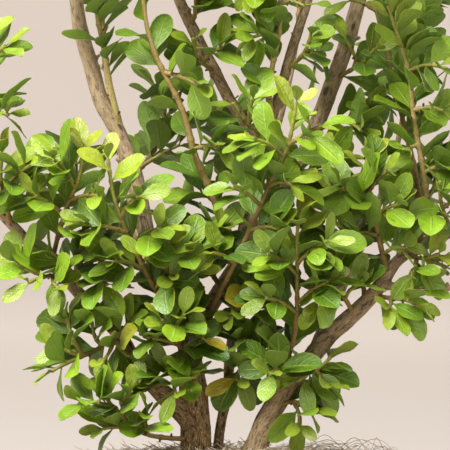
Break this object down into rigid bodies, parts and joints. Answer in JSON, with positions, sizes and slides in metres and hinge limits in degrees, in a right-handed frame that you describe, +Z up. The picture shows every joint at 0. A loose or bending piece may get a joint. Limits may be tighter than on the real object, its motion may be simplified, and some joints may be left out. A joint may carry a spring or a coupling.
{
  "type": "potted bonsai",
  "caption": "Small multi-stemmed evergreen holly bonsai: curved woody limbs with blunt glossy leaves, rooted in soil under dry moss in an oval stoneware pot on feet.",
  "frame": {"origin": "on the surface that the pot stands on, under the middle of the plant and its pot", "axes": "+Z up, +X to the right of the front view, -Y towards the viewer of the front view"},
  "size_m": [0.366, 0.2043, 0.3997],
  "materials": {
    "stoneware": "matte",
    "mesh": "matte",
    "soil": "matte",
    "moss": "matte",
    "bark": "matte",
    "leaf": "satin"
  },
  "bodies": {
    "root": {"back_left": "leaf", "back_left_low": "leaf", "back_left_middle": "leaf", "back_middle": "leaf", "back_middle_low": "leaf", "back_right": "leaf", "back_right_low": "leaf", "basal_left": "leaf", "centre_back": "leaf", "centre_left": "leaf", "centre_low": "leaf", "centre_right": "leaf", "cross_high": "leaf", "cross_left": "leaf", "cross_top": "leaf", "drain_mesh": "mesh", "fork_inner": "leaf", "fork_left": "leaf", "fork_under": "leaf", "fork_up": "leaf", "front_tall": "leaf", "grey_middle": "leaf", "grey_right": "leaf", "grey_top": "leaf", "left_edge": "leaf", "left_end": "leaf", "left_end_back": "leaf", "left_fan": "leaf", "left_front": "leaf", "left_high": "leaf", "left_inner": "leaf", "left_slender": "leaf", "left_under": "leaf", "low_hang": "leaf", "low_left": "leaf", "low_middle": "leaf", "main_top": "leaf", "main_top_front": "leaf", "mid_front": "leaf", "middle_left": "leaf", "moss_mat": "moss", "pot": "stoneware", "right_back": "leaf", "right_bright": "leaf", "right_edge": "leaf", "right_end": "leaf", "right_foot": "leaf", "right_low": "leaf", "right_tall": "leaf", "side_end": "leaf", "slim_left": "leaf", "slim_right": "leaf", "slim_top": "leaf", "slim_top_front": "leaf", "soil": "soil", "tan_shoot": "leaf", "thin_shoot": "leaf", "trunk_front": "leaf", "trunk_low": "leaf", "wood": "bark"}
  },
  "joints": []
}
